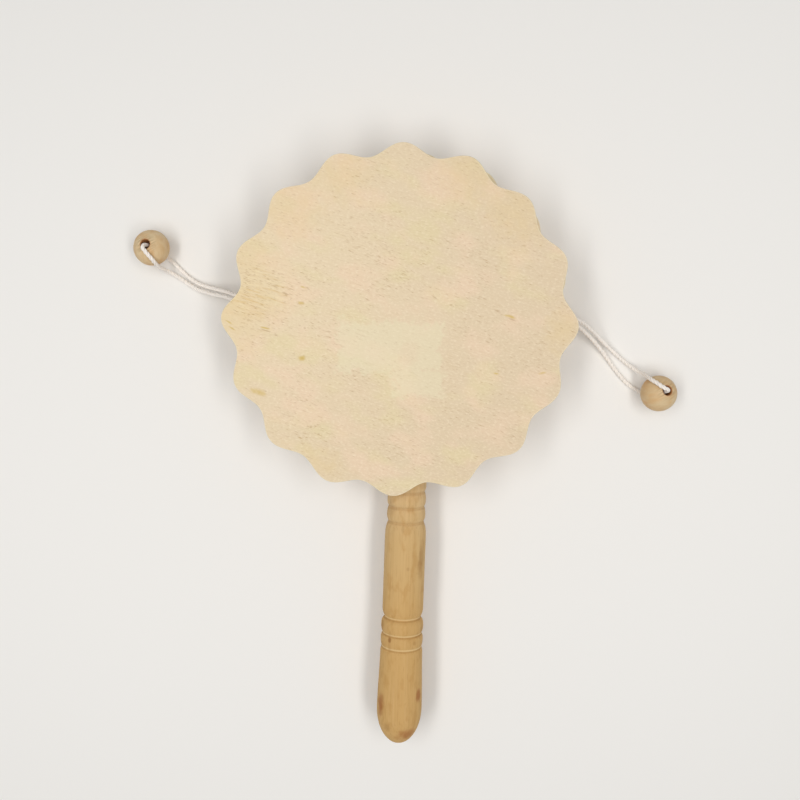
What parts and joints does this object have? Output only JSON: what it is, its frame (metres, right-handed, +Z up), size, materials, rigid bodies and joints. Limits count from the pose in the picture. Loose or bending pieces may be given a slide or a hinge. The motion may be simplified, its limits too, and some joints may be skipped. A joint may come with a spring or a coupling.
{
  "type": "rattle drum",
  "caption": "Wooden rattle drum: scalloped plywood plates on a round hoop, a turned handle with grooves, and wooden beads on looped cotton strings that strike the plates when it is twirled.",
  "frame": {"origin": "on the underside that the drum lies on, under the middle of the hoop", "axes": "+Z up out of the front plate, -Y along the handle to its rounded end, +X to the right seen from the front with the handle pointing down"},
  "size_m": [0.1812, 0.1979, 0.026],
  "materials": {
    "plywood": "raw, sanded, pale cream veneer with fine grain",
    "hoop_wood": "raw, sanded",
    "turned_wood": "raw turned wood with lengthwise grain and a few brown stains",
    "bead_wood": "raw, sanded smooth",
    "cotton": "white twisted cotton"
  },
  "bodies": {
    "root": {"front_plate": "plywood", "back_plate": "plywood", "hoop": "hoop_wood", "handle": "turned_wood", "bead_left": "bead_wood", "bead_right": "bead_wood", "string_left": "cotton", "string_right": "cotton"}
  },
  "joints": []
}
